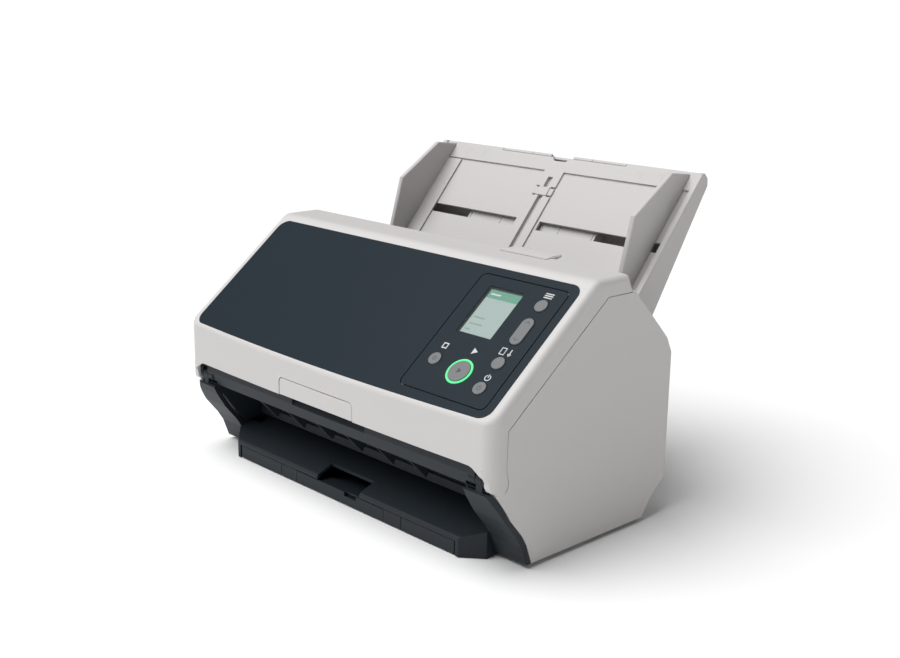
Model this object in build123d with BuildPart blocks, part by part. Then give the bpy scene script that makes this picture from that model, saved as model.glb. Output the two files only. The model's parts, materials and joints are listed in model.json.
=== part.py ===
"""Sheet-fed document scanner with a rear paper chute and a front stacker.

Millimetres. +X is the user's right, +Y the back and +Z up. The origin is on the table, under the
middle of the whole object. The lower unit stands still, the upper unit swings forward about a hinge
behind the front band, and paper runs down the chute, between the two units and out at the front.
"""
from build123d import *
from math import acos, cos, hypot, pi, radians, sin, tan
import os

os.makedirs("parts", exist_ok=True)

# Casing
HALF = 150.0                    # half of the overall width
FRONT_Y = -113.2                # middle of the bowed front band
FRONT_BOW = 2.5                 # how far the band's ends stand back from its middle
REAR_Y = 47.6
TOP_Z = 162.0
FLOOR_Z = 3.0                   # underside of the casing, on its rubber feet
SKIN = 2.4                      # moulded wall
SEAM = 0.4                      # visible gap between two shells
BAY_X = 127.5                   # inner edge of each side cover
RUN = 0.05                      # radial clearance of a running fit

# Hinge of the upper unit, and its latch
HINGE = (-103.0, 57.5)
KNUCKLE_R = 4.5
COVER_KNUCKLE_R = 6.0            # outermost knuckle, part of the cover, hides the rest
HINGE_PIN_R = 2.5
LUG_X = (134.0, 139.0)          # fixed lug between the knuckles, on each side
LUG_BLOCK_X = 142.4
LATCH = (-8.0, 155.0)
LATCH_SHAFT_R = 2.4
TAB_X = (50.0, 89.0)             # release tab on top of the cover

# Sloping front panel, drawn on its own plane: x across, y up the slope, z out of the panel
PANEL_ANGLE = 38.94
PANEL_FOOT = (-110.0, 94.6)
PANEL_LENGTH = 101.0
PANEL_HALF = 143.5
PANEL_THICKNESS = 1.8
PANEL = Plane(origin=(0, *PANEL_FOOT), x_dir=(1, 0, 0),
              z_dir=(0, -sin(radians(PANEL_ANGLE)), cos(radians(PANEL_ANGLE))))

# Controls on the panel plane: centres as (x, up the slope)
CONTROL_BOX = (102.0, 50.5, 70.0, 89.0)     # centre x, centre y, width, height
SCREEN_BOX = (93.0, 68.7, 28.0, 36.4)
BUTTON_R = 4.4
SMALL_BUTTONS = {"menu_button": (124.6, 81.2), "manual_feed_button": (124.6, 37.0),
                 "power_button": (124.6, 18.3), "stop_button": (79.8, 28.1)}
ROCKER_AT, ROCKER_LENGTH = (124.6, 61.2), 20.0
SCAN_AT, SCAN_R, SCAN_RING_R = (103.0, 24.8), 7.4, 8.9
BUTTON_STROKE = 0.8

# Paper path in the side view (y, z), from the exit up to the inlet
PATH = [(-70.0, 30.5), (-36.0, 50.0), (0.0, 80.7), (34.0, 120.8)]
GUIDE_HALF = 122.8              # half width of the lower guide
UPPER_HALF = 117.0              # half width of the upper unit below its shell

# Rollers: point on the path, radius
PICK_R, BRAKE_R, FEED_R, FEED_IDLER_R, EJECT_R, EJECT_IDLER_R = 11.0, 10.0, 8.0, 6.5, 7.0, 5.5
SHAFT_R = 3.0
NIP = 0.15                      # half of the gap where two rollers face each other

# Chute, drawn on its own plane: x across, y up the slope, z out of its surface
CHUTE_ANGLE = 49.7
CHUTE_FOOT = (59.0, 150.3)
CHUTE = Plane(origin=(0, *CHUTE_FOOT), x_dir=(1, 0, 0),
              z_dir=(0, -sin(radians(CHUTE_ANGLE)), cos(radians(CHUTE_ANGLE))))
CHUTE_HALF = 121.7
CHUTE_LOW, CHUTE_TOP = -38.0, 77.5
CHUTE_SLOT = (11.0, 117.4, 15.0, 22.2)      # inner x, outer x, low, high
GUIDE_INNER_X = 107.8                       # A4 and Letter sheets fit between the guides
GUIDE_TRAVEL = 82.0
RACK_Z = (-4.7, -3.1)                       # depth of the racks below the chute's surface
PINION_TEETH, MODULE = 14, 1.0
PINION_Y = (CHUTE_SLOT[2] + CHUTE_SLOT[3]) / 2
EXTENSION_Z = (-7.0, -5.0)

# Stacker
STACKER_HALF, STACKER_FLARE = 112.0, 124.6
STACKER_FRONT_Y, STACKER_EDGE_Z = -98.0, 12.9
SILL_Y, SILL_Z = -70.0, 24.0                # back of the sloping surface
RECESS_HALF, RECESS_BACK_Y = 21.5, -85.5


def add_pair(first, second):
    return first[0] + second[0], first[1] + second[1]


def shifted(points, distance):
    """A side-view line moved sideways, positive towards the upper unit, with mitred corners."""
    moved = []
    for i, (y, z) in enumerate(points):
        normals = []
        for a, b in ((i - 1, i), (i, i + 1)):
            if a >= 0 and b < len(points):
                dy, dz = points[b][0] - points[a][0], points[b][1] - points[a][1]
                normals.append((-dz / hypot(dy, dz), dy / hypot(dy, dz)))
        ny, nz = sum(n[0] for n in normals), sum(n[1] for n in normals)
        scale = distance * len(normals) / (ny * ny + nz * nz)
        moved.append((y + ny * scale, z + nz * scale))
    return moved


def path_plane(segment, distance):
    """A plane on the paper path, that far up one of its straights, facing the upper unit."""
    (y0, z0), (y1, z1) = PATH[segment], PATH[segment + 1]
    length = hypot(y1 - y0, z1 - z0)
    dy, dz = (y1 - y0) / length, (z1 - z0) / length
    return Plane(origin=(0, y0 + dy * distance, z0 + dz * distance), x_dir=(1, 0, 0),
                 z_dir=(0, -dz, dy))


def roller_centre(plane, radius, side):
    """Side-view centre of a roller that touches the path at this plane, above or below it."""
    centre = plane.origin + plane.z_dir * side * (radius + NIP)
    return centre.Y, centre.Z


def chute_point(up, out):
    """Side-view point from its place on the chute plane."""
    a = radians(CHUTE_ANGLE)
    return (CHUTE_FOOT[0] + up * cos(a) - out * sin(a), CHUTE_FOOT[1] + up * sin(a) + out * cos(a))


def slab(points, x0, x1, mode=Mode.ADD):
    """A side-view outline made solid from x0 to x1."""
    with BuildSketch(Plane.YZ.offset(x0)) as outline:
        Polygon(*points, align=None)
    extrude(outline.sketch, amount=x1 - x0, mode=mode)


def rod(centre, radius, x0, x1, mode=Mode.ADD):
    """A round bar or hole along X, at a side-view centre."""
    with BuildSketch(Plane.YZ.offset(x0)) as section:
        with Locations(centre):
            Circle(radius)
    extrude(section.sketch, amount=x1 - x0, mode=mode)


def block(plane, x0, x1, y0, y1, z0, z1, mode=Mode.ADD):
    """A box on a plane, between six limits in that plane's own coordinates."""
    with BuildSketch(plane.offset(z0)) as base:
        with Locations(((x0 + x1) / 2, (y0 + y1) / 2)):
            Rectangle(x1 - x0, y1 - y0)
    extrude(base.sketch, amount=z1 - z0, mode=mode)


def casing_plan(half, front_y, corner_r, height=200.0):
    """Plan of a casing with a bowed front and rounded front corners, kept out of a solid."""
    ends_y = front_y + FRONT_BOW
    with BuildSketch(Plane.XY) as plan:
        with BuildLine():
            Polyline((-half, ends_y), (-half, 150), (half, 150), (half, ends_y))
            ThreePointArc((half, ends_y), (0, front_y), (-half, ends_y))
        make_face()
        fillet(plan.vertices().group_by(Axis.Y)[0], radius=corner_r)
    extrude(plan.sketch, amount=height, mode=Mode.INTERSECT)


def panel_outline(grow):
    """Outline of the dark front panel on the panel plane, its lower edge bowed with the front."""
    half, low, top = PANEL_HALF + grow, 0.9 - grow, PANEL_LENGTH + grow
    with BuildSketch(PANEL) as outline:
        with BuildLine():
            Polyline((-half, low), (-half, top), (half, top), (half, low))
            ThreePointArc((half, low), (0, low - FRONT_BOW * 1.15), (-half, low))
        make_face()
        fillet(outline.vertices(), radius=8 + grow)
    return outline.sketch


def wrapped(circles, grow, x0, x1, mode=Mode.ADD):
    """Solid wrapped round circles given as (centre, radius) in the side view."""
    with BuildSketch(Plane.YZ.offset(x0)) as wrap:
        for centre, radius in circles:
            with Locations(centre):
                Circle(radius + grow)
        make_hull()
    extrude(wrap.sketch, amount=x1 - x0, mode=mode)


# Side seam between the side covers and the upper unit, from the hinge round to the rear
SEAM_LINE = [(-97.0, 58.4), (-98.6, 66.0), (-97.9, 87.8), (-17.2, 151.0), (9.3, 150.8)]
# Front edge of each side cover, from its nose down to the floor
COVER_FRONT = [(-106.0, 54.0), (-101.0, 44.6), (-94.5, 34.1), (-84.8, 22.5), (-80.6, 15.6),
               (-76.0, FLOOR_Z)]
REAR_CORNER = [(27.0, FLOOR_Z), (35.1, 13.9), (40.2, 18.4), (REAR_Y, 24.0)]
SIDE_OUTLINE = COVER_FRONT + REAR_CORNER + [(REAR_Y, 107.5), (43.0, 116.6)] + SEAM_LINE[::-1] + [
    (-100.0, 53.0)]


# ---------------------------------------------------------------- lower unit: casing
def side_cover(side):
    """Hollow side shell, open to the inside, with a round seat for the hinge knuckle."""
    with BuildPart() as cover:
        slab(SIDE_OUTLINE, side * BAY_X, side * HALF)
        outer_rim = cover.faces().sort_by(Axis.X)[-1 if side > 0 else 0].edges()
        with BuildSketch(Plane.YZ.offset(side * (HALF - SKIN))) as hollow:
            Polygon(*SIDE_OUTLINE, align=None)
            offset(amount=-SKIN, kind=Kind.INTERSECTION, mode=Mode.REPLACE)
        chamfer(outer_rim.filter_by(lambda e: e.center().Y > 20 and e.center().Z > 5), length=1.6)
        extrude(hollow.sketch, amount=-side * 40, mode=Mode.SUBTRACT)
        rod(HINGE, COVER_KNUCKLE_R + SEAM, side * (BAY_X - 1), side * (HALF + 1), mode=Mode.SUBTRACT)
        block(Plane.XY, *sorted((side * (BAY_X - 1), side * (LUG_BLOCK_X + SEAM))), -115, -96.8, 43.6, 70,
              mode=Mode.SUBTRACT)
        casing_plan(HALF, FRONT_Y + 2, 12.0)
    return cover


left_side_cover = side_cover(-1)
right_side_cover = side_cover(1)

REAR_SHELL = REAR_CORNER + [(REAR_Y, 106.2), (38.8, 113.6)]
BOARD_Z = FLOOR_Z + 19.9
SOCKETS = {"power": (28.0, 12.0, 12.0), "data": (54.0, 13.0, 12.0), "network": (82.0, 17.0, 14.4)}


def socket_z(height):
    """Centre height of a socket that stands on the main board."""
    return BOARD_Z + 1.7 + height / 2


with BuildPart() as rear_cover:
    slab(REAR_SHELL + shifted(REAR_SHELL, SKIN)[::-1], -BAY_X + 0.3, BAY_X - 0.3)
    for x, width, height in SOCKETS.values():
        block(Plane.XY, x - width / 2 - 0.3, x + width / 2 + 0.3, REAR_Y - 5, REAR_Y + 1,
              socket_z(height) - height / 2 - 0.3, socket_z(height) + height / 2 + 0.3, mode=Mode.SUBTRACT)
    with BuildSketch(Plane.XZ.offset(-REAR_Y - 1)) as vents:
        with Locations((-60, 76)):
            with GridLocations(7, 1, 12, 1):
                SlotOverall(26, 2.4, rotation=90)
    extrude(vents.sketch, amount=6, mode=Mode.SUBTRACT)

with BuildPart() as base_pan:
    block(Plane.XY, -127, 127, -5.5, 23.6, FLOOR_Z, FLOOR_Z + SKIN)
    for side in (-1, 1):
        block(Plane.XY, *sorted((side * 112.6, side * 127)), -75.5, -5.5, FLOOR_Z, FLOOR_Z + SKIN)
        block(Plane.XY, *sorted((side * 112.6, side * 114.6)), -75.5, -5.5, FLOOR_Z, 14.8)
        for y in (-60, 20):
            block(Plane.XY, *sorted((side * 122.3, side * 123.8)), y - 8, y + 6, FLOOR_Z, 14.0)
    block(Plane.XY, -114.6, 114.6, -62, -3.1, 12.6, 14.8)
    block(Plane.XY, -114.6, 114.6, -5.5, -3.1, FLOOR_Z, 14.8)
    with GridLocations(140, 1, 2, 1):
        for y in (8, 20):
            with Locations((0, y, FLOOR_Z)):
                Cylinder(2.6, 19.9, align=(Align.CENTER, Align.CENTER, Align.MIN))

with BuildPart() as rubber_feet:
    with Locations((0, -22, 0)):
        with GridLocations(238, 84, 2, 2):
            Cylinder(6.4, FLOOR_Z, align=(Align.CENTER, Align.CENTER, Align.MIN))
    chamfer(rubber_feet.faces().sort_by(Axis.Z)[:4].edges(), length=0.6)

# Dark frame round the paper exit: two posts that carry the hinge lugs, and the cheeks behind them
POST_FRONT = [(-108.0, 50.2), (-105.2, 44.6), (-98.8, 34.1), (-89.4, 22.5), (-85.0, 15.6),
              (-80.4, FLOOR_Z)]
POST_BACK = [(-106.0, 51.0)] + [(y - SEAM, z) for y, z in COVER_FRONT[1:]]

with BuildPart() as front_frame:
    for side in (-1, 1):
        slab(POST_FRONT + POST_BACK[::-1], side * 125.2, side * HALF)
        slab([(-105.9, 52.4), (-97.4, 52.4), (-97.4, 44.2), (-101.4, 44.2)], side * 125.2, side * LUG_BLOCK_X)
        slab([(-104.5, 51.0), (-84.5, 22.4), (-79.0, 6.4), (-61.0, 6.4), (-61.0, 57.0), (-95.6, 57.0)],
             side * 125.2, side * 127.2)
        rod(HINGE, KNUCKLE_R + 0.6, side * 125, side * (HALF + 1), mode=Mode.SUBTRACT)
        rod(HINGE, COVER_KNUCKLE_R + SEAM, side * (LUG_BLOCK_X - 0.1), side * (HALF + 1), mode=Mode.SUBTRACT)
    # Beam behind the stacker that joins the two corners into one moulding
    slab([(-65.5, 17.0), (-62.5, 17.0), (-62.5, 23.0), (-65.5, 23.0)], -126.0, 126.0)
    casing_plan(HALF, FRONT_Y + 2, 12.0)
    for side in (-1, 1):
        rod(HINGE, KNUCKLE_R - 0.1, side * LUG_X[0], side * LUG_X[1])
        slab([(-106.6, 50.0), (-99.6, 50.0), (-99.6, 57.5), (-106.4, 57.5)],
             side * LUG_X[0], side * LUG_X[1])
        rod(HINGE, HINGE_PIN_R, side * 130, side * 145, mode=Mode.SUBTRACT)

with BuildPart() as hinge_pins:
    for side in (-1, 1):
        rod(HINGE, HINGE_PIN_R, side * 129.5, side * 146.5)
    chamfer(hinge_pins.edges().filter_by(GeomType.CIRCLE), length=0.4)


# ---------------------------------------------------------------- paper path and rollers
PICK_PLANE = path_plane(2, 30.5)
BRAKE_PLANE = path_plane(2, 26.0)
FEED_PLANE = path_plane(1, 42.0)
LOWER_SCAN_PLANE = path_plane(1, 26.5)
UPPER_SCAN_PLANE = path_plane(1, 10.5)
EJECT_PLANE = path_plane(0, 13.0)

PICK_AT = roller_centre(PICK_PLANE, PICK_R, -1)
BRAKE_AT = roller_centre(BRAKE_PLANE, BRAKE_R, 1)
FEED_AT = roller_centre(FEED_PLANE, FEED_R, -1)
FEED_IDLER_AT = roller_centre(FEED_PLANE, FEED_IDLER_R, 1)
EJECT_AT = roller_centre(EJECT_PLANE, EJECT_R, -1)
EJECT_IDLER_AT = roller_centre(EJECT_PLANE, EJECT_IDLER_R, 1)

PICK_X, PICK_W = (-19.0, 19.0), 24.0
FEED_X, FEED_W = (-85.0, -30.0, 30.0, 85.0), 18.0
EJECT_X, EJECT_W = (-90.0, -60.0, -30.0, 30.0, 60.0, 90.0), 12.0
SCAN_HALF, SCAN_WIDTH = 112.0, 14.0


def roller_windows(plane, xs, width, length):
    """Openings in a paper guide for a row of rollers."""
    with BuildSketch(plane.offset(-8)) as windows:
        with Locations(*[(x, 0) for x in xs]):
            Rectangle(width + 3, length)
    extrude(windows.sketch, amount=16, mode=Mode.SUBTRACT)


with BuildPart() as lower_paper_guide:
    surface, underside = shifted(PATH, -1.0), shifted(PATH, -3.0)
    slab(surface + underside[::-1], -GUIDE_HALF, GUIDE_HALF)
    slab([(SILL_Y, SILL_Z + 0.3), surface[0], (SILL_Y + 2.2, 29.6), (SILL_Y + 2.2, SILL_Z + 0.3)],
         -GUIDE_HALF, GUIDE_HALF)
    roller_windows(PICK_PLANE, PICK_X, PICK_W, 15)
    roller_windows(FEED_PLANE, FEED_X, FEED_W, 13)
    roller_windows(EJECT_PLANE, EJECT_X, EJECT_W, 12)
    block(LOWER_SCAN_PLANE, -SCAN_HALF - 0.4, SCAN_HALF + 0.4, -SCAN_WIDTH / 2 - 0.4,
          SCAN_WIDTH / 2 + 0.4, -6, 4, mode=Mode.SUBTRACT)

SIDE_FRAME = [(-60, 5.6), (-60, 50), (-34, 80), (-26, 128), (-14, 128), (12, 106), (37, 103), (41, 60),
              (41, 29), (22, 5.6)]
STRIKER = (-20.0, 118.0)


def side_frame(side):
    """Steel side plate with bearing holes for the lower shafts and a pin that the latch grips."""
    with BuildPart() as frame:
        slab(SIDE_FRAME, side * 124.0, side * 125.0)
        for centre in (PICK_AT, FEED_AT, EJECT_AT):
            rod(centre, SHAFT_R + RUN, side * 123, side * 126, mode=Mode.SUBTRACT)
        if side < 0:
            rod(MOTOR_AT, 11.0, side * 123, side * 126, mode=Mode.SUBTRACT)
        rod(STRIKER, 2.0, side * 118.2, side * 124.0)
    return frame


MOTOR_AT = (20.0, 47.0)
left_side_frame = side_frame(-1)
right_side_frame = side_frame(1)


def tyres(centre, radius, xs, width, bore):
    """A row of rubber tyres on one shaft."""
    with BuildPart() as row:
        for x in xs:
            rod(centre, radius, x - width / 2, x + width / 2)
        chamfer(row.edges().filter_by(GeomType.CIRCLE), length=0.5)
        rod(centre, bore, min(xs) - width, max(xs) + width, mode=Mode.SUBTRACT)
    return row


def shaft(centre, radius, x0, x1):
    with BuildPart() as bar:
        rod(centre, radius, x0, x1)
        chamfer(bar.edges().filter_by(GeomType.CIRCLE), length=0.5)
    return bar


pick_shaft = shaft(PICK_AT, SHAFT_R, -127, 129)
pick_tyres = tyres(PICK_AT, PICK_R, PICK_X, PICK_W, SHAFT_R)
feed_shaft = shaft(FEED_AT, SHAFT_R, -143, 127)
feed_tyres = tyres(FEED_AT, FEED_R, FEED_X, FEED_W, SHAFT_R)
eject_shaft = shaft(EJECT_AT, SHAFT_R, -143, 127)
eject_tyres = tyres(EJECT_AT, EJECT_R, EJECT_X, EJECT_W, SHAFT_R)

IDLER_SHAFT_R = 2.0


def idlers(centre, radius, xs, width):
    """Rollers moulded onto one spindle that turns in the upper unit."""
    with BuildPart() as row:
        rod(centre, IDLER_SHAFT_R, -UPPER_HALF + 0.2, UPPER_HALF - 0.2)
        for x in xs:
            rod(centre, radius, x - width / 2, x + width / 2)
    return row


brake_roller = idlers(BRAKE_AT, BRAKE_R, PICK_X, PICK_W)
feed_idlers = idlers(FEED_IDLER_AT, FEED_IDLER_R, FEED_X, FEED_W)
eject_idlers = idlers(EJECT_IDLER_AT, EJECT_IDLER_R, EJECT_X, EJECT_W)


def image_sensor(plane, side):
    """Contact image sensor: a long channel that holds the lamp, lens row and sensor row."""
    with BuildPart() as sensor:
        block(plane, -SCAN_HALF, SCAN_HALF, -6, 6, *sorted((side * 2.5, side * 13)))
        block(plane, -SCAN_HALF + 4, SCAN_HALF - 4, -2.2, 2.2, *sorted((side * 2.4, side * 6)),
              mode=Mode.SUBTRACT)
    return sensor


def sensor_glass(plane, side):
    with BuildPart() as pane:
        block(plane, -SCAN_HALF, SCAN_HALF, -SCAN_WIDTH / 2, SCAN_WIDTH / 2,
              *sorted((side * 1.1, side * 2.4)))
    return pane


lower_image_sensor = image_sensor(LOWER_SCAN_PLANE, -1)
lower_sensor_glass = sensor_glass(LOWER_SCAN_PLANE, -1)
upper_image_sensor = image_sensor(UPPER_SCAN_PLANE, 1)
upper_sensor_glass = sensor_glass(UPPER_SCAN_PLANE, 1)

# Drive: one motor turns the feed shaft by a belt, a second belt turns the eject shaft
MOTOR_PULLEY_R, FEED_PULLEY_R = 6.0, 9.0
EJECT_PULLEY_R = FEED_PULLEY_R * EJECT_R / FEED_R
BELT_T = 1.4
FIRST_BELT_X, SECOND_BELT_X = (-133.5, -128.5), (-140.5, -135.5)


def pulley(centre, radius, belts, bore):
    """Flanged belt pulley."""
    with BuildPart() as wheel:
        x_low, x_high = min(b[0] for b in belts) - 1, max(b[1] for b in belts) + 1
        rod(centre, radius, x_low, x_high)
        for x in {b[0] - 1 for b in belts} | {b[1] for b in belts}:
            rod(centre, radius + 1.8, x, x + 1)
        if bore:
            rod(centre, bore, x_low - 1, x_high + 1, mode=Mode.SUBTRACT)
    return wheel


feed_pulley = pulley(FEED_AT, FEED_PULLEY_R, (FIRST_BELT_X, SECOND_BELT_X), SHAFT_R)
eject_pulley = pulley(EJECT_AT, EJECT_PULLEY_R, (SECOND_BELT_X,), SHAFT_R)
with BuildPart() as motor_pulley:
    add(pulley(MOTOR_AT, MOTOR_PULLEY_R, (FIRST_BELT_X,), None).part)
    rod(MOTOR_AT, 2.5, -129, -121)


with BuildPart() as drive_belts:
    for driver, driven, (x0, x1) in (((MOTOR_AT, MOTOR_PULLEY_R), (FEED_AT, FEED_PULLEY_R), FIRST_BELT_X),
                                     ((FEED_AT, FEED_PULLEY_R), (EJECT_AT, EJECT_PULLEY_R), SECOND_BELT_X)):
        wrapped((driver, driven), BELT_T + 0.05, x0 + 0.1, x1 - 0.1)
        wrapped((driver, driven), 0.05, x0, x1, mode=Mode.SUBTRACT)

with BuildPart() as feed_motor:
    with BuildSketch(Plane.YZ.offset(-123.8)) as can:
        with Locations(MOTOR_AT):
            RectangleRounded(35, 35, 3)
    extrude(can.sketch, amount=20)
    rod(MOTOR_AT, 10.6, -125, -123.8)
    rod(MOTOR_AT, 2.5 + RUN, -126, -119, mode=Mode.SUBTRACT)

with BuildPart() as pick_motor:
    rod(PICK_AT, 12.0, 127.2, 145)
    rod(PICK_AT, SHAFT_R + RUN, 127, 131, mode=Mode.SUBTRACT)
    chamfer(pick_motor.faces().sort_by(Axis.X)[-1].edges(), length=1)

with BuildPart() as main_board:
    block(Plane.XY, -95, 110, 4, 30, BOARD_Z, BOARD_Z + 1.6)
    block(Plane.XY, -60, -36, 8, 26, BOARD_Z + 1.6, BOARD_Z + 4)
    block(Plane.XY, -20, -4, 10, 24, BOARD_Z + 1.6, BOARD_Z + 3.2)
    with Locations((-78, 17, BOARD_Z + 1.6), (-86, 17, BOARD_Z + 1.6)):
        Cylinder(3, 9, align=(Align.CENTER, Align.CENTER, Align.MIN))

# Sockets stand on the board's rear edge and end flush with the rear wall
SOCKET_Y = (26.0, REAR_Y - 0.4)
with BuildPart() as rear_sockets:
    for x, width, height in SOCKETS.values():
        block(Plane.XY, x - width / 2, x + width / 2, *SOCKET_Y, BOARD_Z + 1.7, BOARD_Z + 1.7 + height)
    with BuildSketch(Plane.XZ.offset(-REAR_Y)) as mouths:
        with Locations((SOCKETS["power"][0], socket_z(SOCKETS["power"][2]))):
            Circle(3.6)
            Circle(1.2, mode=Mode.SUBTRACT)
        with Locations((SOCKETS["data"][0], socket_z(SOCKETS["data"][2]))):
            Rectangle(8.6, 7.8)
            Rectangle(5.6, 3.2, mode=Mode.SUBTRACT)
        with Locations((SOCKETS["network"][0], socket_z(SOCKETS["network"][2]))):
            Rectangle(12, 9)
    extrude(mouths.sketch, amount=12, mode=Mode.SUBTRACT)


# ---------------------------------------------------------------- upper unit
REAR_WALL = [(2.0, TOP_Z), (7.0, SEAM_LINE[-1][1] + SEAM)]      # top of the wall behind the cover
FLAP_X, FLAP_Z = (-41.0, 33.0), (67.0, 78.2)
BAND_BOTTOM_Z = 66.6
SCOOP_X = (-35.0, 38.0)
COVER_OUTLINE = [(FRONT_Y, BAND_BOTTOM_Z), (FRONT_Y, 92.0), (-26.6, TOP_Z)] + REAR_WALL + [
    (y - 0.35, z + 0.35) for y, z in SEAM_LINE[-2::-1]] + [
    (-98.0, 56.0), (-103.0, 53.0), (-107.6, 55.4), (-108.9, 58.5)]
COVER_CAVITY = [(FRONT_Y, 64.0), (FRONT_Y, 86.4), (-22.6, TOP_Z - SKIN), (-0.6, TOP_Z - SKIN),
                (14.0, 126.0), (14.0, 40.0), (-96.4, 40.0), (-96.4, 64.0)]



def flap_plate(y0, y1, grow, z_low, mode=Mode.ADD):
    """Plate in the shape of the front flap, its top corners rounded."""
    with BuildSketch(Plane.XZ.offset(-y1)) as outline:
        with Locations(((FLAP_X[0] + FLAP_X[1]) / 2, (z_low + FLAP_Z[1] + grow) / 2)):
            Rectangle(FLAP_X[1] - FLAP_X[0] + 2 * grow, FLAP_Z[1] + grow - z_low)
        fillet(outline.vertices().group_by(Axis.Y)[-1], radius=3 + grow)
    extrude(outline.sketch, amount=y1 - y0, mode=mode)


with BuildPart() as cover_cavity:
    slab(COVER_CAVITY, -HALF + SKIN, HALF - SKIN)
    casing_plan(HALF - SKIN, FRONT_Y + SKIN, 6.0)

with BuildPart() as top_cover:
    with BuildSketch(Plane.YZ.offset(-HALF)) as profile:
        Polygon(*COVER_OUTLINE, align=None)
        with Locations(HINGE):
            Circle(COVER_KNUCKLE_R)
        fillet(profile.vertices().filter_by(lambda v: abs(v.X + 26.6) < 0.1), radius=10)
        fillet(profile.vertices().filter_by(lambda v: abs(v.X - 2.0) < 0.1 and v.Y > 161), radius=2.5)
    extrude(amount=2 * HALF)
    casing_plan(HALF, FRONT_Y, 9.0)
    rim = [e for e in top_cover.edges()
           if e.center().Z > PANEL_FOOT[1] - 3 + (min(e.center().Y, -26) - PANEL_FOOT[0]) * 0.8
           and (abs(e.center().X) > 140 or e.center().Z < 100) and e.center().Y < 1]
    fillet(rim, radius=4.0)
    add(cover_cavity.part, mode=Mode.SUBTRACT)
    # lower edge of the band, sweeping down to the hinge corners
    with BuildSketch(Plane.XZ.offset(-FRONT_Y + 5)) as sweep_down:
        edge_x = LUG_BLOCK_X + SEAM
        Polygon((-134, BAND_BOTTOM_Z), (134, BAND_BOTTOM_Z), (edge_x, 61.0), (edge_x, 40), (-edge_x, 40),
                (-edge_x, 61.0), align=None)
        fillet(sweep_down.vertices().group_by(Axis.Y)[-1], radius=9)
    extrude(sweep_down.sketch, amount=-30, mode=Mode.SUBTRACT)
    # pocket for the dark panel and opening behind the controls
    extrude(panel_outline(0.15), amount=-PANEL_THICKNESS - 0.2, mode=Mode.SUBTRACT)
    extrude(panel_outline(0.15), amount=1, mode=Mode.SUBTRACT)
    x, y, w, h = CONTROL_BOX
    block(PANEL, x - w / 2 + 4, x + w / 2 - 4, y - h / 2 + 4, y + h / 2 - 4, -8, 1, mode=Mode.SUBTRACT)
    flap_plate(FRONT_Y - 1, FRONT_Y + 4, 0.4, 60, Mode.SUBTRACT)
    # slot for the release lever
    block(Plane.XY, TAB_X[0] - 0.4, TAB_X[1] + 0.4, -5.5, 12, TOP_Z - 1.6, TOP_Z + 2, mode=Mode.SUBTRACT)
    block(Plane.XY, 59, 75, -5.5, -0.6, TOP_Z - 6, TOP_Z + 2, mode=Mode.SUBTRACT)
    for side in (-1, 1):
        slab([(-107.7, 57.0), (-107.7, 60.0), (-109.6, 63.0), (-110.9, 66.0), (-95.0, 66.0), (-95.0, 50.0),
              (-107.7, 50.0)], side * 120, side * (LUG_BLOCK_X + SEAM), mode=Mode.SUBTRACT)
        rod(HINGE, HINGE_PIN_R + RUN, side * 127, side * 147, mode=Mode.SUBTRACT)

with BuildPart() as front_panel:
    extrude(panel_outline(0), amount=-PANEL_THICKNESS)
    with BuildSketch(PANEL) as inset:
        with Locations((CONTROL_BOX[0], CONTROL_BOX[1])):
            RectangleRounded(CONTROL_BOX[2] + 1.2, CONTROL_BOX[3] + 1.2, 4.6)
    extrude(inset.sketch, amount=-5, mode=Mode.SUBTRACT)

with BuildPart() as control_panel:
    with BuildSketch(PANEL) as plate:
        with Locations((CONTROL_BOX[0], CONTROL_BOX[1])):
            RectangleRounded(CONTROL_BOX[2], CONTROL_BOX[3], 4)
        with Locations((SCREEN_BOX[0], SCREEN_BOX[1])):
            RectangleRounded(SCREEN_BOX[2] + 0.3, SCREEN_BOX[3] + 0.3, 0.8, mode=Mode.SUBTRACT)
        with Locations(*SMALL_BUTTONS.values()):
            Circle(BUTTON_R + 0.25, mode=Mode.SUBTRACT)
        with Locations(ROCKER_AT):
            SlotOverall(ROCKER_LENGTH + 0.7, 2 * BUTTON_R + 0.6, rotation=90, mode=Mode.SUBTRACT)
        with Locations(SCAN_AT):
            Circle(SCAN_RING_R + 0.1, mode=Mode.SUBTRACT)
    extrude(plate.sketch, amount=-PANEL_THICKNESS)

with BuildPart() as screen_window:
    with BuildSketch(PANEL.offset(-1.4)) as pane:
        with Locations((SCREEN_BOX[0], SCREEN_BOX[1])):
            RectangleRounded(SCREEN_BOX[2], SCREEN_BOX[3], 0.7)
    extrude(pane.sketch, amount=1.1)

with BuildPart() as screen_module:
    x, y = SCREEN_BOX[0], SCREEN_BOX[1]
    block(PANEL, x - 17, x + 17, y - 20, y + 20, -7, -PANEL_THICKNESS - 0.1)
    block(PANEL, x - SCREEN_BOX[2] / 2 + 1, x + SCREEN_BOX[2] / 2 - 1, y - SCREEN_BOX[3] / 2 + 1,
          y + SCREEN_BOX[3] / 2 - 1, -PANEL_THICKNESS - 0.2, -1.5)


def push_button(centre, radius):
    """Round key with a flange under the panel and a stem over its switch."""
    with BuildPart() as key:
        for r, low, high in ((radius, -3.2, 0.9), (radius + 0.9, -3.2, -2.2), (1.8, -5.6, -3.2)):
            with BuildSketch(PANEL.offset(low)) as section:
                with Locations(centre):
                    Circle(r)
            extrude(section.sketch, amount=high - low)
        crown = key.faces().sort_by(Axis(PANEL.origin, PANEL.z_dir))[-1]
        fillet(crown.edges(), radius=0.45)
    return key


small_keys = {name: push_button(centre, BUTTON_R) for name, centre in SMALL_BUTTONS.items()}
scan_button = push_button(SCAN_AT, SCAN_R)

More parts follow.
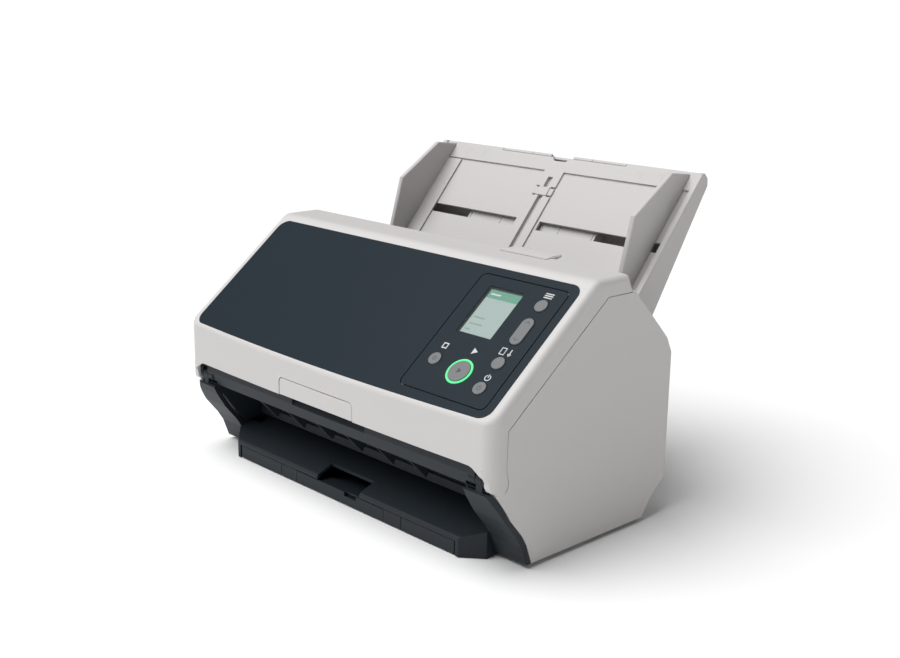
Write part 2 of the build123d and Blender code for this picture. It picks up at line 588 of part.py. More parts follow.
with BuildPart() as scan_ring:
    with BuildSketch(PANEL.offset(-PANEL_THICKNESS)) as ring:
        with Locations(SCAN_AT):
            Circle(SCAN_RING_R)
            Circle(SCAN_R + 0.2, mode=Mode.SUBTRACT)
    extrude(ring.sketch, amount=PANEL_THICKNESS + 0.4)
    with BuildSketch(PANEL.offset(-6)) as sleeve:
        with Locations(SCAN_AT):
            Circle(SCAN_RING_R + 1.2)
            Circle(SCAN_R + 1.2, mode=Mode.SUBTRACT)
    extrude(sleeve.sketch, amount=6 - PANEL_THICKNESS)

with BuildPart() as up_down_button:
    for grow, low, high in ((0.0, -3.0, 0.9), (0.8, -3.0, -2.5)):
        with BuildSketch(PANEL.offset(low)) as oblong:
            with Locations(ROCKER_AT):
                SlotOverall(ROCKER_LENGTH + 2 * grow, 2 * BUTTON_R + 2 * grow, rotation=90)
        extrude(oblong.sketch, amount=high - low)
    crown = up_down_button.faces().sort_by(Axis(PANEL.origin, PANEL.z_dir))[-1]
    fillet(crown.edges(), radius=0.45)

with BuildPart() as control_board:
    x, y, w, h = CONTROL_BOX
    block(PANEL, x - w / 2 + 5, x + w / 2 - 5, y - h / 2 + 5, y + h / 2 - 5, -11.6, -10)
    for centre in list(SMALL_BUTTONS.values()) + [SCAN_AT]:
        block(PANEL, centre[0] - 3, centre[0] + 3, centre[1] - 3, centre[1] + 3, -10, -6.7)
    for end in (-7, 7):
        block(PANEL, ROCKER_AT[0] - 2.5, ROCKER_AT[0] + 2.5, ROCKER_AT[1] + end - 2.5,
              ROCKER_AT[1] + end + 2.5, -10, -4.2)
    for dx in (-16, 16):
        for dy in (-18, 18):
            block(PANEL, SCREEN_BOX[0] + dx - 1, SCREEN_BOX[0] + dx + 1, SCREEN_BOX[1] + dy - 1,
                  SCREEN_BOX[1] + dy + 1, -10, -7.1)

with BuildPart() as front_flap:
    flap_plate(FRONT_Y + 0.1, FRONT_Y + 2.1, 0, FLAP_Z[0])
    fillet(front_flap.edges().filter_by(Axis.X).group_by(Axis.Z)[-1], radius=0.95)

# Dark strip under the band: upper lip of the paper exit, with the fins that press paper down
with BuildPart() as front_trim:
    slab([(-104.9, 52.0), (-107.3, 60.0), (-107.3, 72.0), (-105.5, 72.0), (-105.4, 60.4),
          (-103.0, 52.0)], -142.6, 142.6)
    for side in (-1, 1):
        block(Plane.XY, *sorted((side * 124.8, side * 143)), -112, -100, 50, 54.4, mode=Mode.SUBTRACT)
    slab([(-104.8, 53.5), (-84.4, 53.5), (-84.4, 52.0), (-104.6, 52.0)], -118, 118)
    # scoop for a finger under the flap
    slab([(-106.0, 72.0), (-101.2, 72.0), (-101.2, 66.0), (-104.6, 56.0)], SCOOP_X[0] - 3, SCOOP_X[1] + 3)
    slab([(-108.0, 73.0), (-102.6, 73.0), (-102.6, 68.0), (-107.3, 59.2), (-108.0, 59.2)], *SCOOP_X,
         mode=Mode.SUBTRACT)
    for x in (-75, -45, -15, 15, 45, 75):
        slab([(-104.9, 52.6), (-90.5, 37.4), (-86.6, 42.5), (-86.6, 53.0)], x - 0.8, x + 0.8)
    for side in (-1, 1):
        rod(HINGE, KNUCKLE_R - 0.1, side * 128.0, side * 142.6)
        slab([(-106.0, 58.0), (-100.0, 58.0), (-100.0, 66.0), (-106.0, 70.0)], side * 128.0, side * 142.6)
        block(Plane.XY, *sorted((side * (LUG_X[0] - 0.4), side * (LUG_X[1] + 0.4))), -112, -95, 50, 63.5,
              mode=Mode.SUBTRACT)
        rod(HINGE, HINGE_PIN_R + RUN, side * 127, side * 143, mode=Mode.SUBTRACT)

UPPER_PATH = PATH[:3] + [add_pair(PATH[2], (25.0, 25.0 * tan(radians(CHUTE_ANGLE))))]
UPPER_SURFACE = shifted(UPPER_PATH, 1.0)
INNER_OUTLINE = UPPER_SURFACE + [(7.2, 148.6), (-17.3, 148.6), (-84.0, 94.6), (-84.0, 48.0)]

with BuildPart() as cover_inner_frame:
    slab(INNER_OUTLINE, -UPPER_HALF, UPPER_HALF)
    with BuildSketch(Plane.YZ.offset(-UPPER_HALF + 2)) as hollow:
        Polygon(*INNER_OUTLINE, align=None)
        offset(amount=-2.0, kind=Kind.INTERSECTION, mode=Mode.REPLACE)
    extrude(hollow.sketch, amount=2 * UPPER_HALF - 4, mode=Mode.SUBTRACT)
    block(PANEL, -112, 112, 22, 92, -30, 0, mode=Mode.SUBTRACT)
    for side in (-1, 1):
        slab([(-14.0, 146.0), (-12.0, 159.2), (-4.0, 159.2), (-2.0, 146.0)],
             side * (UPPER_HALF - 2), side * UPPER_HALF)
    roller_windows(BRAKE_PLANE, PICK_X, PICK_W, 15)
    roller_windows(FEED_PLANE, FEED_X, FEED_W, 13)
    roller_windows(EJECT_PLANE, EJECT_X, EJECT_W, 12)
    block(UPPER_SCAN_PLANE, -SCAN_HALF - 0.4, SCAN_HALF + 0.4, -SCAN_WIDTH / 2 - 0.4,
          SCAN_WIDTH / 2 + 0.4, -4, 6, mode=Mode.SUBTRACT)
    for centre in (BRAKE_AT, FEED_IDLER_AT, EJECT_IDLER_AT):
        rod(centre, IDLER_SHAFT_R + RUN, -UPPER_HALF - 1, UPPER_HALF + 1, mode=Mode.SUBTRACT)
    rod(LATCH, LATCH_SHAFT_R + RUN, -UPPER_HALF - 1, UPPER_HALF + 1, mode=Mode.SUBTRACT)

with BuildPart() as cover_release:
    rod(LATCH, LATCH_SHAFT_R, -121.2, 121.2)
    slab([(-8.0, 155.0), (-5.6, 155.0), (-1.4, 160.9), (-3.4, 160.9)], 60, 74)
    slab([(-4.6, 160.8), (-4.6, 162.3), (3.0, 163.1), (10.0, 163.1), (10.0, 161.9), (5.0, 160.8)], *TAB_X)
    chamfer(cover_release.faces().sort_by(Axis.Z)[-1].edges().filter_by(Axis.Y), length=0.9)
    for side in (-1, 1):
        rod(LATCH, 4.0, side * 118.2, side * 121.2)
        slab([(-12.0, 155.0), (-4.5, 155.0), (-9.5, 121.0), (-12.0, 116.0), (-14.6, 118.0),
              (-13.2, 122.0)], side * 118.2, side * 121.2)


# ---------------------------------------------------------------- chute
def chute_slab(points, x0, x1, mode=Mode.ADD):
    """A side-view outline given on the chute plane as (up, out), made solid from x0 to x1."""
    slab([chute_point(*p) for p in points], x0, x1, mode)


def back_line(up):
    """Depth of the chute's rear face, which tapers towards the top."""
    return -8.4 - (73.0 - up) * tan(radians(7.6))


EXT1_HALF, EXT2_HALF, EXT_LOW = 58.0, 27.8, -9.0
RIM_OUTLINE = [(CHUTE_LOW, 1.4), (75.6, 1.4), (77.4, -0.4), (76.9, -5.0), (73.4, -8.4),
               (CHUTE_LOW, back_line(CHUTE_LOW))]

with BuildPart() as chute_tray:
    block(CHUTE, -CHUTE_HALF, CHUTE_HALF, CHUTE_LOW, CHUTE_TOP - 0.6, -2.8, 0)
    for side in (-1, 1):
        chute_slab(RIM_OUTLINE, side * 118.0, side * CHUTE_HALF)
        block(CHUTE, *sorted((side * 9.0, side * 117.9)), CHUTE_LOW - 1, 63.0, -1.2, 1, mode=Mode.SUBTRACT)
        block(CHUTE, *sorted((side * 5.2, side * 9.0)), 41.6, 43.0, -1.6, 1, mode=Mode.SUBTRACT)
        block(CHUTE, *sorted((side * 5.2, side * 9.0)), 48.6, 50.0, -1.6, 1, mode=Mode.SUBTRACT)
        block(CHUTE, *sorted((side * CHUTE_SLOT[0], side * CHUTE_SLOT[1])), *CHUTE_SLOT[2:], -4, 1,
              mode=Mode.SUBTRACT)
    with BuildSketch(CHUTE) as notch:
        Polygon((-10.5, 78), (-5.5, 71.5), (5.5, 71.5), (10.5, 78), align=None)
        fillet(notch.vertices().group_by(Axis.Z)[0], radius=2)
    extrude(notch.sketch, amount=-5, mode=Mode.SUBTRACT)
    block(CHUTE, -2.2, 2.2, CHUTE_LOW - 1, 58, -2.3, 1, mode=Mode.SUBTRACT)
    block(CHUTE, -5.0, 5.0, 42.4, 49.2, -2.3, 0.5)
    block(CHUTE, -EXT1_HALF - 0.4, EXT1_HALF + 0.4, 74.6, CHUTE_TOP, -4, 1, mode=Mode.SUBTRACT)
    with BuildSketch(CHUTE.offset(-RACK_Z[0] * -1)) as boss:
        with Locations((0, PINION_Y)):
            Circle(2.5)
    extrude(boss.sketch, amount=2.4)

with BuildPart() as chute_back:
    chute_slab([(CHUTE_LOW, back_line(CHUTE_LOW)), (72.0, back_line(72.0)), (72.0, back_line(72.0) + 1.3),
                (CHUTE_LOW, back_line(CHUTE_LOW) + 1.6)], -117.8, 117.8)
    chute_slab([(CHUTE_LOW, back_line(CHUTE_LOW)), (CHUTE_LOW, -2.9), (CHUTE_LOW + 2, -2.9),
                (CHUTE_LOW + 2, back_line(CHUTE_LOW))], -117.8, 117.8)
    for side in (-1, 1):
        chute_slab([(-12, -5.0), (70, -5.0), (70, back_line(70) + 0.2), (-12, back_line(-12) + 0.2)],
                   side * 58.4, side * 60.4)




def extension_outline(low):
    """Side outline of a pull-out plate whose bent top edge closes the end of the chute."""
    back, front = EXTENSION_Z
    return [(low, back), (75.2, back), (76.9, back + 1.7), (76.9, -0.1), (75.0, -0.1), (75.0, front),
            (low, front)]


with BuildPart() as chute_extension_1:
    chute_slab(extension_outline(EXT_LOW), -EXT1_HALF, EXT1_HALF)
    block(CHUTE, -EXT2_HALF - 0.3, EXT2_HALF + 0.3, EXT_LOW + 12, 78, -8, 1, mode=Mode.SUBTRACT)
    block(CHUTE, -EXT2_HALF - 1.5, EXT2_HALF + 1.5, EXT_LOW + 12, 78, -6.5, -5.5, mode=Mode.SUBTRACT)

with BuildPart() as chute_extension_2:
    chute_slab(extension_outline(EXT_LOW + 12.4), -EXT2_HALF, EXT2_HALF)
    block(CHUTE, -EXT2_HALF - 1.2, EXT2_HALF + 1.2, EXT_LOW + 12.4, 70.0, -6.3, -5.7)
    block(CHUTE, -10.5, 10.5, 74, 78, -3.5, 1, mode=Mode.SUBTRACT)


# Rack and pinion that keep the two side guides centred
PITCH = pi * MODULE
BACKLASH = 0.25


def involute(angle):
    return tan(angle) - angle


def pinion_points(teeth):
    """Outline of the pinion: involute flanks down to the base circle, then straight to the root."""
    pitch_r = MODULE * teeth / 2
    base_r = pitch_r * cos(radians(20))
    half_tooth = (PITCH / 2 - BACKLASH / 2) / 2 / pitch_r + involute(radians(20))
    radii = [base_r + (pitch_r + 0.9 * MODULE - base_r) * k / 4 for k in range(5)]
    flank = [(pitch_r - 1.35, half_tooth)] + [(r, half_tooth - involute(acos(base_r / r))) for r in radii]
    outline = []
    for tooth in range(teeth):
        middle = pi / 2 + 2 * pi * tooth / teeth
        for r, a in flank:
            outline.append((r * cos(middle - a), r * sin(middle - a)))
        for r, a in flank[::-1]:
            outline.append((r * cos(middle + a), r * sin(middle + a)))
    return outline


def rack_points(x0, x1, side):
    """Outline of a rack whose teeth point at the pinion, on one side of it."""
    half = (PITCH / 2 - BACKLASH / 2) / 2
    slope = tan(radians(20))
    pitch_y = MODULE * PINION_TEETH / 2 + 0.02
    root, tip = pitch_y + 1.2, pitch_y - 0.8
    first, last = int(x0 / PITCH) + 1, int(x1 / PITCH) - 1
    outline = [(x0, root + 3), (x0, root)]
    for k in range(first, last):
        middle = (k + 0.5) * PITCH
        outline += [(middle - half - 1.2 * slope, root), (middle - half + 0.8 * slope, tip),
                    (middle + half - 0.8 * slope, tip), (middle + half + 1.2 * slope, root)]
    outline += [(x1, root), (x1, root + 3)]
    return [(x, PINION_Y + side * y) for x, y in outline]


with BuildPart() as guide_pinion:
    with BuildSketch(CHUTE.offset(RACK_Z[0])) as gear:
        with Locations((0, PINION_Y)):
            Polygon(*pinion_points(PINION_TEETH), align=None)
            Circle(2.5 + RUN, mode=Mode.SUBTRACT)
    extrude(gear.sketch, amount=RACK_Z[1] - RACK_Z[0])

GUIDE_WALL = [(-34.0, -1.0), (-34.0, 2.5), (22.6, 28.6), (64.4, 16.3), (75.2, 0.3), (62.4, 0.3),
              (62.4, -1.0)]


def side_guide(side):
    """Paper side guide: wall, flat wing on the chute, arm through the slot, and its rack."""
    with BuildPart() as guide:
        chute_slab(GUIDE_WALL, side * GUIDE_INNER_X, side * (GUIDE_INNER_X + 4))
        top_edges = [e for e in guide.edges().filter_by(Axis.X, reverse=True)
                     if CHUTE.to_local_coords(e.center()).Z > 2]
        fillet(top_edges, radius=1.2)
        block(CHUTE, *sorted((side * 94.0, side * (GUIDE_INNER_X + 1))), -34, 62.0, -1.0, 0.1)
        block(CHUTE, *sorted((side * 100.5, side * 106.5)), 15.6, 21.6, RACK_Z[0], -0.5)
        reach = MODULE * PINION_TEETH / 2 + 4.1
        rack_side = -side
        block(CHUTE, *sorted((side * 100.5, side * 106.5)),
              *sorted((PINION_Y + rack_side * reach, PINION_Y - rack_side * 3)), *RACK_Z)
        with BuildSketch(CHUTE.offset(RACK_Z[0])) as rack:
            Polygon(*rack_points(*sorted((side * 106.5, -side * 14)), rack_side), align=None)
        extrude(rack.sketch, amount=RACK_Z[1] - RACK_Z[0])
    return guide


left_side_guide = side_guide(-1)
right_side_guide = side_guide(1)


# ---------------------------------------------------------------- stacker
SURFACE_SLOPE = (SILL_Z - STACKER_EDGE_Z) / (SILL_Y - STACKER_FRONT_Y)
DRAWER_HALF = 108.0

with BuildPart() as stacker_tray:
    slab([(STACKER_FRONT_Y, 0.6), (STACKER_FRONT_Y, 11.6), (-97.0, STACKER_EDGE_Z), (SILL_Y - 0.4, SILL_Z),
          (SILL_Y + 3, SILL_Z), (SILL_Y + 3, 12.2), (-7.0, 12.2), (-7.0, 0.6)], -STACKER_FLARE, STACKER_FLARE)
    with BuildSketch(Plane.XY) as plan:
        Polygon((-STACKER_HALF, STACKER_FRONT_Y), (STACKER_HALF, STACKER_FRONT_Y),
                (STACKER_FLARE, -87), (STACKER_FLARE, -79), (STACKER_HALF, -77.5), (STACKER_HALF, -7),
                (-STACKER_HALF, -7), (-STACKER_HALF, -77.5), (-STACKER_FLARE, -79),
                (-STACKER_FLARE, -87), align=None)
    extrude(plan.sketch, amount=40, mode=Mode.INTERSECT)
    block(Plane.XY, -DRAWER_HALF - 1.2, DRAWER_HALF + 1.2, -99, -9, 2.0, 9.8, mode=Mode.SUBTRACT)
    block(Plane.XY, -DRAWER_HALF - 1.2, DRAWER_HALF + 1.2, -99, -96.0, 0, 9.8, mode=Mode.SUBTRACT)
    slab([(-95.0, 11.8), (-96.0, 9.7), (-76.0, 9.7), (-76.0, 19.6)], -106, 106, mode=Mode.SUBTRACT)
    block(Plane.XY, -RECESS_HALF, RECESS_HALF, -99, RECESS_BACK_Y, 9, 30, mode=Mode.SUBTRACT)

with BuildPart() as stacker_extension_1:
    block(Plane.XY, -DRAWER_HALF, DRAWER_HALF, -97.4, -14, 2.4, 4.2)
    block(Plane.XY, -DRAWER_HALF, DRAWER_HALF, -97.6, -96.2, 0.9, 9.3)
    for side in (-1, 1):
        block(Plane.XY, *sorted((side * 45.2, side * DRAWER_HALF)), -97.4, -14, 4.2, 9.0)
        block(Plane.XY, *sorted((side * 48, side * 105)), -94, -17, 5.8, 9.1, mode=Mode.SUBTRACT)
        block(Plane.XY, *sorted((side * 60.7, side * 61.3)), -98, -97.1, 0, 9.4, mode=Mode.SUBTRACT)
    block(Plane.XY, -44.6, 44.6, -99, -95, 0, 10, mode=Mode.SUBTRACT)

with BuildPart() as stacker_extension_2:
    block(Plane.XY, -44.2, 44.2, -97.6, -20, 4.5, 6.0)
    block(Plane.XY, -44.2, 44.2, -97.6, -96.2, 1.0, 9.0)
    block(Plane.XY, 6, 18, -99, -95, 6.2, 10, mode=Mode.SUBTRACT)

with BuildPart() as stopper:
    block(Plane.XY, -20.5, 20.5, -95.0, RECESS_BACK_Y - 0.8, 6.6, 8.6)
    rod((-94.2, 7.6), 1.0, -20.5, 20.5)
    fillet(stopper.edges().filter_by(Axis.Z).group_by(Axis.Y)[-1], radius=2)

# Screws that hold the rear cover and the pan
with BuildPart() as case_screws:
    with BuildSketch(Plane.XY.offset(FLOOR_Z - 1.2)) as heads:
        with Locations((0, -16)):
            with GridLocations(236, 28, 2, 2):
                Circle(3)
    extrude(heads.sketch, amount=1.2)


PIECES = {
    "left_side_cover": left_side_cover, "right_side_cover": right_side_cover, "rear_cover": rear_cover,
    "base_pan": base_pan, "rubber_feet": rubber_feet, "front_frame": front_frame,
    "hinge_pins": hinge_pins, "lower_paper_guide": lower_paper_guide,
    "left_side_frame": left_side_frame, "right_side_frame": right_side_frame,
    "pick_shaft": pick_shaft, "pick_tyres": pick_tyres, "feed_shaft": feed_shaft,
    "feed_tyres": feed_tyres, "eject_shaft": eject_shaft, "eject_tyres": eject_tyres,
    "lower_image_sensor": lower_image_sensor, "lower_sensor_glass": lower_sensor_glass,
    "feed_motor": feed_motor, "motor_pulley": motor_pulley, "feed_pulley": feed_pulley,
    "eject_pulley": eject_pulley, "drive_belts": drive_belts,
    "pick_motor": pick_motor, "main_board": main_board, "rear_sockets": rear_sockets,
    "case_screws": case_screws,
    "top_cover": top_cover, "front_panel": front_panel, "control_panel": control_panel,
    "screen_window": screen_window, "screen_module": screen_module, "scan_button": scan_button,
    "scan_ring": scan_ring, "up_down_button": up_down_button, "control_board": control_board,
    "front_flap": front_flap, "front_trim": front_trim, "cover_inner_frame": cover_inner_frame,
    "upper_image_sensor": upper_image_sensor, "upper_sensor_glass": upper_sensor_glass,
    "brake_roller": brake_roller, "feed_idlers": feed_idlers,
    "eject_idlers": eject_idlers, "cover_release": cover_release,
    "chute_tray": chute_tray, "chute_back": chute_back, "chute_extension_1": chute_extension_1,
    "chute_extension_2": chute_extension_2, "guide_pinion": guide_pinion,
    "left_side_guide": left_side_guide, "right_side_guide": right_side_guide,
    "stacker_tray": stacker_tray, "stacker_extension_1": stacker_extension_1,
    "stacker_extension_2": stacker_extension_2, "stopper": stopper,
} | small_keys

for name, piece in PIECES.items():
    piece.part.label = name
    export_step(piece.part, f"parts/{name}.step")
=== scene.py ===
"""Looks of the sheet-fed document scanner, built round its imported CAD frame. Metres, +Z up."""

import json
from math import cos, pi, radians, sin

import bmesh
import bpy
from mathutils import Matrix, Vector


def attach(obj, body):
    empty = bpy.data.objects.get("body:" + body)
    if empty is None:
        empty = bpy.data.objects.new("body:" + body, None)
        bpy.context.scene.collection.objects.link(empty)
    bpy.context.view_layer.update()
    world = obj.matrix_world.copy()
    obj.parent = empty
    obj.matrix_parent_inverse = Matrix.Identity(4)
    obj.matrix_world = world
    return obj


MM = 0.001

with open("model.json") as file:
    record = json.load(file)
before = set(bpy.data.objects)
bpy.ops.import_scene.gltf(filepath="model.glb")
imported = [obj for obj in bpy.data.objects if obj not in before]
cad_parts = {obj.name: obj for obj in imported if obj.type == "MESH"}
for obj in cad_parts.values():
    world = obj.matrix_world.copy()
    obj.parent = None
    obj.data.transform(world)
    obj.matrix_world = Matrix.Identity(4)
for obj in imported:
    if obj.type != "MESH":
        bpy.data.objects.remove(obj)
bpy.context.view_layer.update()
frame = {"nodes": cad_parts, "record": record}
NODES = frame["nodes"]


# ---------------------------------------------------------------- materials
def principled(name, colour, rough, metallic=0.0, **sockets):
    """A material with one Principled shader, and that shader."""
    material = bpy.data.materials.new(name)
    material.use_nodes = True
    shader = material.node_tree.nodes["Principled BSDF"]
    shader.inputs["Base Color"].default_value = (*colour, 1)
    shader.inputs["Roughness"].default_value = rough
    shader.inputs["Metallic"].default_value = metallic
    for socket, value in sockets.items():
        shader.inputs[socket.replace("_", " ")].default_value = value
    return material, shader


def grain(material, shader, scale, depth, edge=0.0):
    """Fine moulded grain, over edges rounded by the shader where edge is given in metres."""
    nodes, links = material.node_tree.nodes, material.node_tree.links
    coords = nodes.new("ShaderNodeTexCoord")
    noise = nodes.new("ShaderNodeTexNoise")
    noise.inputs["Scale"].default_value = scale
    noise.inputs["Detail"].default_value = 2.0
    bump = nodes.new("ShaderNodeBump")
    bump.inputs["Strength"].default_value = 0.5
    bump.inputs["Distance"].default_value = depth
    links.new(coords.outputs["Object"], noise.inputs["Vector"])
    links.new(noise.outputs["Fac"], bump.inputs["Height"])
    links.new(bump.outputs["Normal"], shader.inputs["Normal"])
    if edge:
        bevel = nodes.new("ShaderNodeBevel")
        bevel.samples = 4
        bevel.inputs["Radius"].default_value = edge
        links.new(bevel.outputs["Normal"], bump.inputs["Normal"])


def plastic(name, colour, rough, scale=2500.0, depth=0.00003, edge=0.0005, **sockets):
    material, shader = principled(name, colour, rough, **sockets)
    grain(material, shader, scale, depth, edge)
    return material


SHELL = plastic("shell_white", (0.575, 0.56, 0.555), 0.55)
CHUTE_WHITE = plastic("chute_white", (0.52, 0.505, 0.50), 0.55)
PANEL = plastic("panel_dark", (0.013, 0.022, 0.030), 0.36, Specular_IOR_Level=0.08)
FRAME_DARK = plastic("frame_dark", (0.014, 0.020, 0.026), 0.5, Specular_IOR_Level=0.25)
KEY = plastic("key_grey", (0.138, 0.145, 0.152), 0.5, edge=0.0002)
RUBBER = plastic("rubber_dark", (0.02, 0.02, 0.021), 0.8)
IDLER = plastic("idler_plastic", (0.45, 0.45, 0.43), 0.5)
GEAR = plastic("gear_plastic", (0.6, 0.6, 0.57), 0.45)
SOCKET = plastic("socket_black", (0.012, 0.012, 0.013), 0.4)
SENSOR = plastic("sensor_body", (0.012, 0.012, 0.012), 0.5)
BOARD = plastic("board", (0.012, 0.10, 0.04), 0.35)
MOTOR = plastic("motor_metal", (0.05, 0.05, 0.055), 0.4, depth=0.00001)
STEEL, _ = principled("steel", (0.56, 0.57, 0.58), 0.3, metallic=1.0)
GLASS, _ = principled("clear_glass", (0.5, 0.55, 0.53), 0.03, IOR=1.45, Alpha=0.06)
RING, _ = principled("lamp_green", (0.05, 0.5, 0.2), 0.4, Emission_Color=(0.05, 0.55, 0.14, 1),
                     Emission_Strength=0.8)

FINISH = {
    "shell_white": SHELL, "chute_white": CHUTE_WHITE, "panel_dark": PANEL, "frame_dark": FRAME_DARK,
    "key_grey": KEY, "lamp_green": RING, "screen_glass": GLASS, "sensor_glass": GLASS,
    "screen_body": SOCKET, "sensor_body": SENSOR, "board": BOARD, "socket_black": SOCKET,
    "rubber_dark": RUBBER, "idler_plastic": IDLER, "steel": STEEL, "gear_plastic": GEAR,
    "motor_metal": MOTOR,
}
for part in frame["record"]["subparts"]:
    mesh = NODES[part["node"]].data
    mesh.materials.clear()
    mesh.materials.append(FINISH[part["material_slot"]])


# ---------------------------------------------------------------- planes of the casing
class Face:
    """A sloping plane of the object: x across, up its slope and out of it, all in millimetres."""

    def __init__(self, foot_y, foot_z, angle):
        self.origin = Vector((0, foot_y, foot_z)) * MM
        self.across = Vector((1, 0, 0))
        self.up = Vector((0, cos(radians(angle)), sin(radians(angle))))
        self.out = self.across.cross(self.up)

    def at(self, x, up, out=0.0):
        return self.origin + (self.across * x + self.up * up + self.out * out) * MM


PANEL_FACE = Face(-110.0, 94.6, 38.94)
CHUTE_FACE = Face(59.0, 150.3, 49.7)


# ---------------------------------------------------------------- printed marks and the screen
class Marks:
    """Thin flat shapes on one sloping plane, gathered into one piece."""

    def __init__(self, name, face, out, material, body):
        self.name, self.face, self.out, self.body = name, face, out, body
        self.materials = [material]
        self.mesh = bmesh.new()

    def shape(self, points, material=0):
        """A filled outline from (x, up) points in millimetres, anticlockwise."""
        corners = [self.mesh.verts.new(self.face.at(x, up, self.out)) for x, up in points]
        self.mesh.faces.new(corners).material_index = material

    def bar(self, x, up, width, height, material=0):
        w, h = width / 2, height / 2
        self.shape([(x - w, up - h), (x + w, up - h), (x + w, up + h), (x - w, up + h)], material)

    def line(self, start, end, width, material=0):
        """A straight stroke."""
        a, b = Vector(start), Vector(end)
        side = (b - a).normalized().orthogonal() * (width / 2)
        self.shape([a + side, a - side, b - side, b + side][::-1], material)

    def arc(self, x, up, radius, width, start=0.0, end=360.0, steps=28):
        """A round stroke between two angles in degrees, counted from the plane's x."""
        for k in range(steps):
            t0 = radians(start + (end - start) * k / steps)
            t1 = radians(start + (end - start) * (k + 1) / steps)
            inner, outer = radius - width / 2, radius + width / 2
            self.shape([(x + r * cos(t), up + r * sin(t))
                        for r, t in ((inner, t0), (outer, t0), (outer, t1), (inner, t1))])

    def frame(self, x, up, width, height, stroke):
        """An open rectangle."""
        for dx in (-1, 1):
            self.bar(x + dx * (width - stroke) / 2, up, stroke, height)
        for dy in (-1, 1):
            self.bar(x, up + dy * (height - stroke) / 2, width - 2 * stroke, stroke)

    def done(self):
        data = bpy.data.meshes.new(self.name)
        bmesh.ops.recalc_face_normals(self.mesh, faces=self.mesh.faces)
        self.mesh.to_mesh(data)
        self.mesh.free()
        for polygon in data.polygons:
            if polygon.normal.dot(self.face.out) < 0:
                polygon.flip()
        for material in self.materials:
            data.materials.append(material)
        piece = bpy.data.objects.new(self.name, data)
        bpy.context.collection.objects.link(piece)
        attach(piece, self.body)
        return piece


PRINT, _ = principled("print_light", (0.55, 0.56, 0.56), 0.6)
ENGRAVED, _ = principled("print_dark", (0.05, 0.052, 0.055), 0.6)
FAINT, _ = principled("print_faint", (0.47, 0.465, 0.455), 0.6)
SCREEN_HEAD, _ = principled("screen_head", (0.02, 0.1, 0.06), 0.5, Emission_Color=(0.10, 0.42, 0.30, 1),
                            Emission_Strength=0.45)
SCREEN_BODY, _ = principled("screen_ground", (0.1, 0.12, 0.11), 0.5, Emission_Color=(0.38, 0.50, 0.48, 1),
                            Emission_Strength=0.62)
SCREEN_TEXT, _ = principled("screen_bars", (0.05, 0.08, 0.07), 0.5, Emission_Color=(0.20, 0.28, 0.25, 1),
                            Emission_Strength=0.8)

COLUMN_X = 124.6                          # right-hand column of keys on the panel
labels = Marks("panel_icons", PANEL_FACE, 0.04, PRINT, "upper_unit")
for row in (-1.5, 0.0, 1.5):              # menu: a short list
    labels.bar(COLUMN_X, 89.3 + row, 6.4, 0.8)
labels.frame(79.8, 38.6, 4.2, 4.2, 0.8)   # stop: a square
labels.shape([(101.4, 38.0), (105.4, 40.3), (101.4, 42.6)])   # scan: a forward arrow
labels.frame(COLUMN_X - 3.0, 45.6, 4.0, 5.2, 0.6)             # manual feed: a sheet going in
labels.line((COLUMN_X + 2.6, 48.0), (COLUMN_X + 2.6, 43.6), 0.8)
labels.shape([(COLUMN_X + 1.0, 44.8), (COLUMN_X + 2.6, 42.8), (COLUMN_X + 4.2, 44.8)])
labels.arc(COLUMN_X, 26.3, 1.9, 0.7, 120, 420)                # power: a broken ring and a bar
labels.line((COLUMN_X, 26.4), (COLUMN_X, 28.8), 0.7)
labels.done()

KEY_TOP = 0.93
for name, draw in {
    "stop_button": lambda m: m.frame(79.8, 28.1, 2.4, 2.4, 0.4),
    "scan_button": lambda m: m.shape([(101.8, 22.9), (105.0, 24.8), (101.8, 26.7)]),
    "power_button": lambda m: (m.arc(COLUMN_X, 18.2, 1.4, 0.4, 120, 420),
                               m.line((COLUMN_X, 18.2), (COLUMN_X, 20.0), 0.4)),
    "up_down_button": lambda m: [m.line((COLUMN_X + x, 61.2 + s * 5.6), (COLUMN_X, 61.2 + s * 7.2), 0.45)
                                 for s in (-1, 1) for x in (-1.8, 1.8)],
}.items():
    key_mark = Marks(name + "_mark", PANEL_FACE, KEY_TOP, ENGRAVED, name)
    draw(key_mark)
    key_mark.done()

SCREEN_X, SCREEN_UP, SCREEN_W, SCREEN_H = 93.0, 68.7, 25.6, 34.0
HEAD_H = 6.4
picture = Marks("screen_picture", PANEL_FACE, -1.46, SCREEN_HEAD, "upper_unit")
picture.materials += [SCREEN_BODY]
picture.bar(SCREEN_X, SCREEN_UP + (SCREEN_H - HEAD_H) / 2, SCREEN_W, HEAD_H, 0)
picture.bar(SCREEN_X, SCREEN_UP - HEAD_H / 2, SCREEN_W, SCREEN_H - HEAD_H, 1)
picture.done()
lines = Marks("screen_lines", PANEL_FACE, -1.43, SCREEN_TEXT, "upper_unit")
lines.materials += [PRINT]
left_edge = SCREEN_X - SCREEN_W / 2 + 2.0
for up, width in ((64.0, 9.0), (59.0, 10.5), (54.6, 4.0)):
    lines.bar(left_edge + width / 2, up, width, 1.1)
lines.bar(left_edge + 4.0, SCREEN_UP + (SCREEN_H - HEAD_H) / 2, 8.0, 1.2, 1)
lines.done()

# size ticks on the chute: plain strokes where a sheet's edges go
ticks = Marks("chute_ticks", CHUTE_FACE, 0.04, FAINT, "lower_unit")
for x in (-105.5, -92.0, -74.5, 74.5, 92.0, 105.5):
    ticks.bar(x, 69.5, 0.5, 6.0)
    ticks.bar(x + (2.6 if x < 0 else -2.6), 71.0, 3.0, 0.5)
ticks.done()

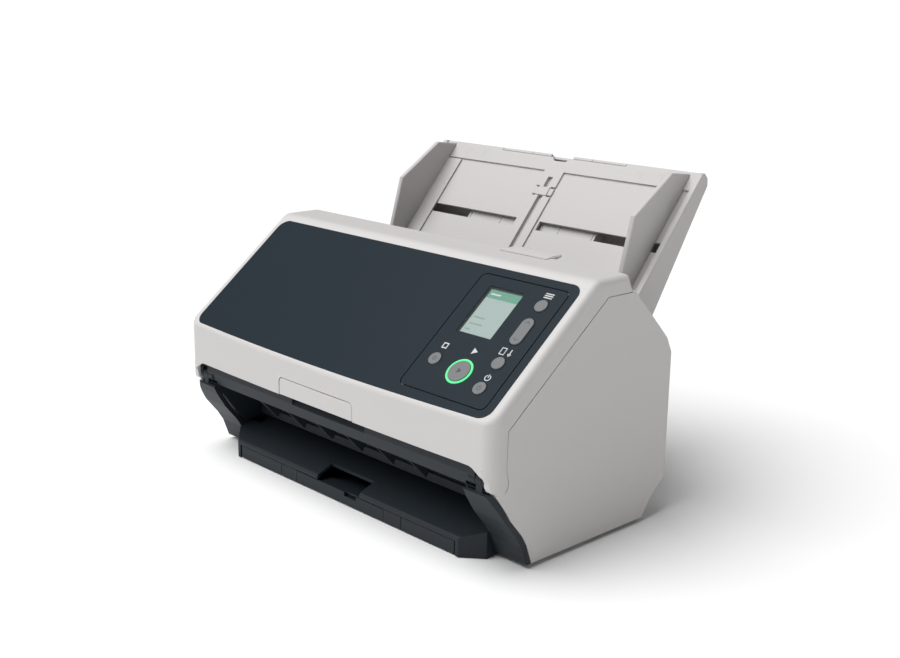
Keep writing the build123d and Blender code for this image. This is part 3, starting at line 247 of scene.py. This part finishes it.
# ---------------------------------------------------------------- camera, light, floor
CAMERA_AT = (0.6037, -0.5779, 0.3183)
CAMERA_RIGHT = Vector((0.68839, 0.72518, 0.01549))
CAMERA_UP = Vector((-0.19420, 0.16368, 0.96721))
camera = bpy.data.objects.new("camera", bpy.data.cameras.new("camera"))
bpy.context.collection.objects.link(camera)
camera.location = CAMERA_AT
camera.rotation_mode = "QUATERNION"
camera_axes = Matrix((CAMERA_RIGHT, CAMERA_UP, CAMERA_RIGHT.cross(CAMERA_UP))).transposed()
camera.rotation_quaternion = camera_axes.to_quaternion()
camera.data.sensor_width, camera.data.lens = 36.0, 50.99
bpy.context.scene.camera = camera

HORIZON, OVERHEAD = (0.0, 1.0), (0.2, 0.16)   # height in the sky and grey there
world = bpy.data.worlds.new("world")
bpy.context.scene.world = world
world.use_nodes = True
sky, links = world.node_tree.nodes, world.node_tree.links
direction = sky.new("ShaderNodeTexCoord")
height = sky.new("ShaderNodeSeparateXYZ")
shade = sky.new("ShaderNodeValToRGB")     # pale at the horizon, where the floor ends, and dim above
for stop, (position, grey) in zip(shade.color_ramp.elements, (HORIZON, OVERHEAD)):
    stop.position, stop.color = position, (grey, grey, grey, 1)
links.new(direction.outputs["Generated"], height.inputs["Vector"])
links.new(height.outputs["Z"], shade.inputs["Fac"])
links.new(shade.outputs["Color"], sky["Background"].inputs["Color"])
bpy.context.scene.view_settings.view_transform = "Standard"


def softbox(name, towards, strength, spread):
    """Even soft light from one direction, as from a large panel far away; spread in degrees."""
    lamp = bpy.data.lights.new(name, "SUN")
    lamp.energy, lamp.angle = strength * pi, radians(spread)
    holder = bpy.data.objects.new(name, lamp)
    bpy.context.collection.objects.link(holder)
    holder.rotation_euler = Vector(towards).to_track_quat("Z", "Y").to_euler()


softbox("key_light", (-0.27, -0.36, 0.89), 1.08, 58)

floor_mesh = bpy.data.meshes.new("floor")
FLOOR_HALF = 60.0
floor_mesh.from_pydata([(x * FLOOR_HALF, y * FLOOR_HALF, 0) for x, y in ((-1, -1), (1, -1), (1, 1), (-1, 1))],
                       [], [(0, 1, 2, 3)])
floor = bpy.data.objects.new("floor", floor_mesh)
bpy.context.collection.objects.link(floor)
floor_material, _ = principled("floor_pale", (0.95, 0.95, 0.95), 0.9)
floor_mesh.materials.append(floor_material)
